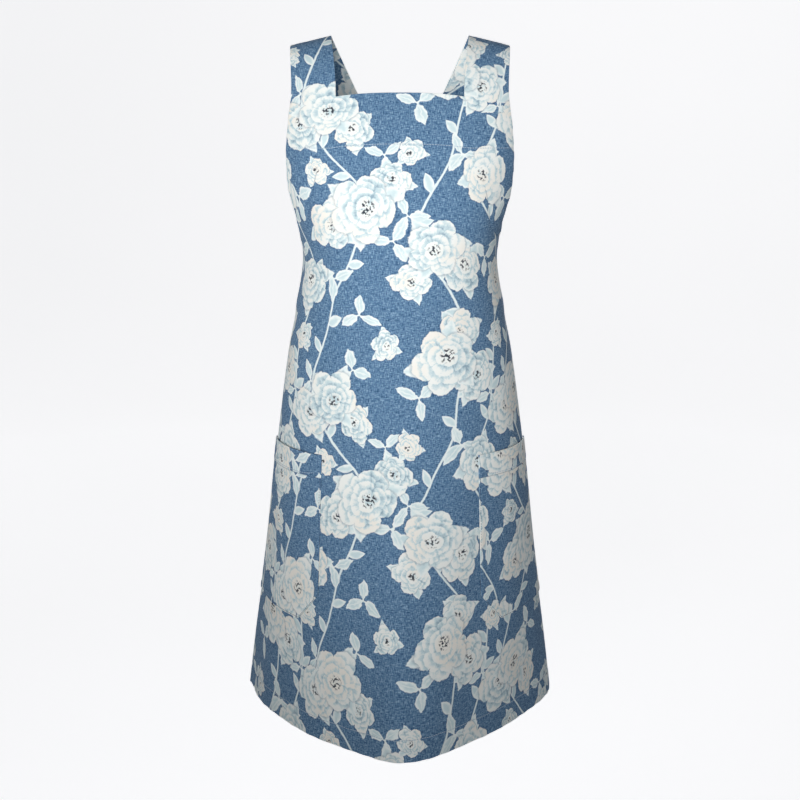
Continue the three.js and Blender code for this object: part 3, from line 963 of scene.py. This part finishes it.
# a back strap's cloth: doubled, so that it swells between its edge stitches, with a slow ripple down it
def makeBackStrap(sign, material):
    cut = backStrapCut
    width = frontPanelCut["strapWidth"]
    acrossLine = stitchedLine(cut["columns"], width, (cut["edgeStitch"], width - cut["edgeStitch"]))
    across, share = np.meshgrid(acrossLine, gridLine(cut["rows"], cut["length"]), indexing="ij")
    points, normals = backStrapFrame(sign, across, np.clip(share, 1e-4, 1))
    rowWidth, run = runningLength(points), runningDown(points)
    sideGap, endGap = np.minimum(rowWidth, rowWidth[-1] - rowWidth), run[:, -1:] - run
    edge = np.minimum(sideGap, np.minimum(run, endGap))
    shorter, longer = cut["rippleLengths"]
    ripple = np.sin(run / shorter + 2 * across) * np.sin(run / longer + sign)
    outer = cut["crown"] * eased(sideGap, 0, cut["crownReach"]) + cut["ripple"] * ripple
    outer = outer - cut["grooveDepth"] * hump(sideGap, cut["edgeStitch"], grooveWidth)
    points = points - normals * (cut["tuck"] * eased(endGap, *cut["tuckReach"]))[..., None]
    flat = np.stack([sign * rowWidth, run], -1) + np.array(cut["printAt"][sign])
    patch = makePatch(points, normals, edge, flat, strapThickness, outer, wrong=0.0)
    side = sideName[sign]
    return sewnPiece("strap" + side, "strap_" + side.lower(), [patch], material)


pocketCut = {
    "width": 150, "length": 232,    # mm, about: they space the grid and place the rows of stitches
    "top": -540, "bottom": -765, "innerAngle": 39, "outerAngle": 87, "gape": 3,
    "chamferAngle": 9, "chamferHeight": 40,
    "edgeStitch": 1.9, "edgeStep": (9.5, 8), "edgeLift": 0.45, "grooveDepth": 0.35,
    "bandDepth": 31, "bandLift": 0.6, "bandStep": 0.6, "bandStitch": 2.0, "bandPrint": 21,
    "columns": 44, "rows": 72, "printAt": {1: (128, -61), -1: (-47, 133)},
}
chamferShare = pocketCut["chamferAngle"] / (pocketCut["outerAngle"] - pocketCut["innerAngle"])
mouthStitch = pocketCut["bandDepth"] - pocketCut["bandStitch"]


# pocket: a patch that follows the skirt, its lower inner corner cut off and its mouth a little open
def pocketFrame(sign, across, down, lift=0.0):
    cut = pocketCut
    angle = sign * between(cut["innerAngle"], cut["outerAngle"], across)
    trim = cut["chamferHeight"] * np.maximum(0, 1 - across / chamferShare)
    z = between(cut["top"], cut["bottom"] + trim, down)
    points, normals = wallFrame(angle, z)
    gape = cut["gape"] * np.sin(np.clip(across, 0, 1) * np.pi) * (1 - np.clip(down, 0, 1)) ** 2
    stand = clothThickness + seamGap + gape + lift
    return points + normals * stand[..., None], normals, z


# a pocket's cloth: folded edges lift it and stitches pull it in; a band of the same cloth lies along the
# mouth, and its print doesn't meet the print below it
def makePocket(sign, material):
    cut = pocketCut
    deep = cut["length"]
    acrossLine = stitchedLine(cut["columns"], cut["width"], (cut["edgeStitch"],))
    acrossLine = np.unique(np.append(acrossLine, chamferShare))
    downLine = stitchedLine(cut["rows"], deep, (cut["bandDepth"], deep - cut["edgeStitch"]))
    across, down = np.meshgrid(acrossLine, downLine, indexing="ij")
    points, normals, z = pocketFrame(sign, across, down)
    width, fall = runningLength(points), runningDown(points)
    seam = np.minimum(width, fall[:, -1:] - fall)
    edge = np.minimum(seam, np.minimum(width[-1] - width, fall))
    groove = hump(fall, mouthStitch, grooveWidth) + hump(seam, cut["edgeStitch"], grooveWidth)
    band = eased(fall, cut["bandDepth"], cut["bandDepth"] - cut["bandStep"])
    outer = cut["edgeLift"] * eased(seam, *cut["edgeStep"]) + cut["bandLift"] * band
    outer = outer - cut["grooveDepth"] * np.minimum(groove, 1)
    # the band's lower edge reads as a dart's line: the print jumps there, and the cloth's material paints a
    # line of shade along it
    beyond = cut["bandDepth"] - fall + dartMark
    dart = np.stack([np.zeros_like(fall), np.full_like(fall, cut["bandPrint"]), beyond], -1)
    flat = np.stack([sign * width, lengthDown(z)], -1) + np.array(cut["printAt"][sign])
    patch = makePatch(points, normals, edge, flat, outer=outer, wrong=(fall > mouthStitch), dart=dart)
    side = sideName[sign]
    return sewnPiece("pocket" + side, "pocket_" + side.lower(), [patch], material)


stitchSize = {
    "length": 3.2, "width": 0.95, "height": 0.55, "pitch": 3.5, "sunk": 0.05,
    "probe": 0.8,    # mm either way over which a stitch takes its direction
    # rings, as shares of half the length from the middle, and the corners of each
    "stations": (-0.75, -0.3, 0.3, 0.75), "sides": 6,
}


# one stitch: an oval bead of thread, wide in the middle and pointed at both ends
def stitchShape():
    size = stitchSize
    sides, half = size["sides"], size["length"] / 2
    stations = np.array(size["stations"])
    t, turn = np.meshgrid(stations, np.linspace(0, 2 * np.pi, sides, endpoint=False), indexing="ij")
    girth = np.sqrt(1 - t ** 2)
    rings = np.stack([t * half, girth * np.cos(turn) * size["width"] / 2,
                      girth * np.sin(turn) * size["height"] / 2], -1).reshape(-1, 3)
    ends = np.array([[-half, 0, 0], [half, 0, 0]])
    around = np.arange(sides)
    beside = (around + 1) % sides
    starts = np.arange(len(stations)) * sides
    corners = np.stack([around, beside, sides + beside, sides + around], -1)
    quads = [start + corners for start in starts[:-1]]
    firstTip, lastTip = np.full(sides, len(rings)), np.full(sides, len(rings) + 1)
    tips = [np.stack([firstTip, beside, around], -1),
            np.stack([lastTip, starts[-1] + around, starts[-1] + beside], -1)]
    return np.concatenate([rings, ends]), np.concatenate(quads)[:, ::-1], np.concatenate(tips)[:, ::-1]


# vectors along a line, read between its points at given lengths
def readAlong(run, values, lengths):
    return np.stack([np.interp(lengths, run, values[:, k]) for k in range(3)], -1)


# rows of stitches laid end to end along lines on the cloth, all in one mesh
def sewStitches(name, rows, material):
    shape, quads, tips = stitchShape()
    probe = stitchSize["probe"]
    placed = []
    for points, normals in rows:
        run = runningLength(points)
        count = int(run[-1] // stitchSize["pitch"])
        at = (np.arange(count) + 0.5) * run[-1] / count
        along = unit(readAlong(run, points, at + probe) - readAlong(run, points, at - probe))
        up = unit(readAlong(run, normals, at))
        axes = np.stack([along, np.cross(up, along), up], 1)
        placed.append((readAlong(run, points, at) - up * stitchSize["sunk"])[:, None] + shape @ axes)
    points = np.concatenate(placed)
    start = (np.arange(len(points)) * len(shape))[:, None, None]
    faces = (start + quads).reshape(-1, 4).tolist() + (start + tips).reshape(-1, 3).tolist()
    piece = addObject(name, points * mm, faces, material)
    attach(piece, "root")
    print("sewed", name, len(points), "stitches")
    return piece


# a row of stitches: a line on the cloth, lifted along its normals
def stitchRow(line, lift):
    points, normals = line
    return points + normals * lift, normals


# the front panel's rows: along the bib facing and along the hem, at their depths down the cloth
def frontStitchRows():
    cut = frontPanelCut
    share = np.linspace(-0.985, 0.985, 400)
    facing = heightAtLength(lengthDown(frontHeight(share, 0.0)) + cut["facingDepth"])
    hem = heightAtLength(lengthDown(frontHeight(share, 1.0)) - cut["hemDepth"])
    lines = [wallFrame(frontAngle(share, z), z) for z in (facing, hem)]
    return [stitchRow(line, clothThickness - stitchBed) for line in lines]


# a back panel's rows: along its hem, its back edge and its top edge
def backStitchRows(sign):
    cut = backPanelCut
    line = np.linspace(0.01, 0.99, 400)
    full = np.ones_like(line)
    inset = 1 - cut["edgeFold"] / cut["width"]
    spots = [
        (line * inset, full * (1 - cut["hemDepth"] / cut["length"])),
        (full * inset, line),
        (line, full * cut["edgeFold"] / cut["length"]),
    ]
    return [stitchRow(wallFrame(*backPlace(sign, *spot)), clothThickness - stitchBed) for spot in spots]


# a back strap's rows: one along each edge
def strapStitchRows(sign):
    share = np.linspace(0.01, 0.97, 400)
    inset = backStrapCut["edgeStitch"] / frontPanelCut["strapWidth"]
    return [stitchRow(backStrapFrame(sign, np.full_like(share, across), share), strapThickness)
            for across in (inset, 1 - inset)]


# a pocket's rows: one along the band at the mouth, and one down the inner edge and along the bottom
def pocketStitchRows(sign):
    cut = pocketCut
    line = np.linspace(0.02, 0.98, 300)
    full = np.ones_like(line)
    inner, bottom = cut["edgeStitch"] / cut["width"], 1 - cut["edgeStitch"] / cut["length"]
    belowBand = cut["bandDepth"] / cut["length"] + 0.01
    edgeLift = cut["edgeLift"] - cut["grooveDepth"]
    spots = [
        (line, full * mouthStitch / cut["length"], cut["bandLift"] - stitchBed),
        (full * inner, between(belowBand, bottom, line), edgeLift),
        (between(inner, line[-1], line), full * bottom, edgeLift),
    ]
    rows = [pocketFrame(sign, across, down, clothThickness + lift)[:2] for across, down, lift in spots]
    return rows[:1], rows[1:]


cottonCloth = printedCotton()
paleThread = sewingThread("paleThread", threadFinish["pale"])
# the pocket's inner edge and bottom are sewn with a dark navy thread, dark enough that its stitches draw a
# dark line along those edges
blueThread = sewingThread("blueThread", threadFinish["blue"])

frontPanel = makeFrontPanel(cottonCloth)
frontStitches = sewStitches("frontStitches", frontStitchRows(), paleThread)
for sign, side in sideName.items():
    panel = makeBackPanel(sign, cottonCloth)
    panelStitches = sewStitches("backStitches" + side, backStitchRows(sign), paleThread)
    strap = makeBackStrap(sign, cottonCloth)
    strapStitches = sewStitches("strapStitches" + side, strapStitchRows(sign), paleThread)
    pocket = makePocket(sign, cottonCloth)
    mouthRows, edgeRows = pocketStitchRows(sign)
    mouthStitches = sewStitches("pocketMouthStitches" + side, mouthRows, paleThread)
    edgeStitches = sewStitches("pocketEdgeStitches" + side, edgeRows, blueThread)
print("apron made")

studio = {
    "floorHeight": -1.42, "wallAt": 6.0, "coveRadius": 2.0, "wallHeight": 5.0, "bends": 25, "sides": 96,
    "camera": (0, -1.8, -0.12), "aim": (0, 0, -0.49), "lens": 58.4, "sensor": 36,
    # place, aim, size, watts, spread in degrees, colour
    "lights": [
        ((-0.40, -1.75, -0.18), (0, -0.1, -0.17), 1.0, 4.4, 54, (1.0, 0.99, 0.97)),
        ((1.5, -1.3, 0.10), (0, -0.1, -0.25), 1.3, 1.6, 110, (0.97, 0.98, 1.0)),
        ((0.40, 1.75, 0.10), (0, 0.1, -0.24), 1.0, 5.0, 62, (1.0, 0.99, 0.97)),
        ((-1.5, 1.4, 0.10), (0, 0.1, -0.35), 1.3, 1.8, 110, (0.97, 0.98, 1.0)),
    ],
    "sky": (0.95, 0.97, 1.0, 1), "skyLight": 0.15,
}


# floor: a flat round floor that turns up through a quarter circle into a wall all round
def makeFloor(material):
    wall, radius = studio["wallAt"], studio["coveRadius"]
    bend = np.linspace(0, np.pi / 2, studio["bends"])
    reach = np.concatenate([[0.0], wall - radius * (1 - np.sin(bend)), [wall]])
    height = np.concatenate([[0.0], radius * (1 - np.cos(bend)), [studio["wallHeight"]]])
    turns = np.linspace(0, 2 * np.pi, studio["sides"] + 1)
    turn, k = np.meshgrid(turns, np.arange(len(reach)), indexing="ij")
    points = [reach[k] * np.cos(turn), reach[k] * np.sin(turn), height[k] + studio["floorHeight"]]
    quads = gridQuads(np.arange(turn.size).reshape(turn.shape).T)
    floor = addObject("studioFloor", np.stack(points, -1), quads.tolist(), material)
    floor.visible_diffuse = False    # its glow keeps the studio pale and leaves the cloth's shading alone


# puts a light or a camera at its place, its own -Z pointing at the target
def aimAt(thing, place, target):
    thing.location = place
    thing.rotation_euler = (Vector(target) - Vector(place)).to_track_quat("-Z", "Y").to_euler()
    bpy.context.scene.collection.objects.link(thing)


# the studio: floor, four soft lights, an even pale sky and the front camera
def makeStudio():
    makeFloor(paleFloor())
    for count, (place, target, size, watts, spread, colour) in enumerate(studio["lights"]):
        lamp = bpy.data.lights.new("softLight%d" % count, "AREA")
        lamp.size = size
        lamp.energy = watts
        lamp.spread = math.radians(spread)
        lamp.color = colour
        light = bpy.data.objects.new(lamp.name, lamp)
        light.visible_camera = False
        aimAt(light, place, target)
    world = bpy.data.worlds.new("paleSky")
    world.use_nodes = True
    sky = world.node_tree.nodes["Background"]
    sky.inputs[0].default_value = studio["sky"]
    sky.inputs[1].default_value = studio["skyLight"]
    bpy.context.scene.world = world
    lens = bpy.data.cameras.new("frontCamera")
    lens.sensor_width = studio["sensor"]
    lens.lens = studio["lens"]
    camera = bpy.data.objects.new("frontCamera", lens)
    aimAt(camera, studio["camera"], studio["aim"])
    bpy.context.scene.camera = camera
    bpy.context.scene.view_settings.view_transform = "Standard"


makeStudio()
print("studio ready")
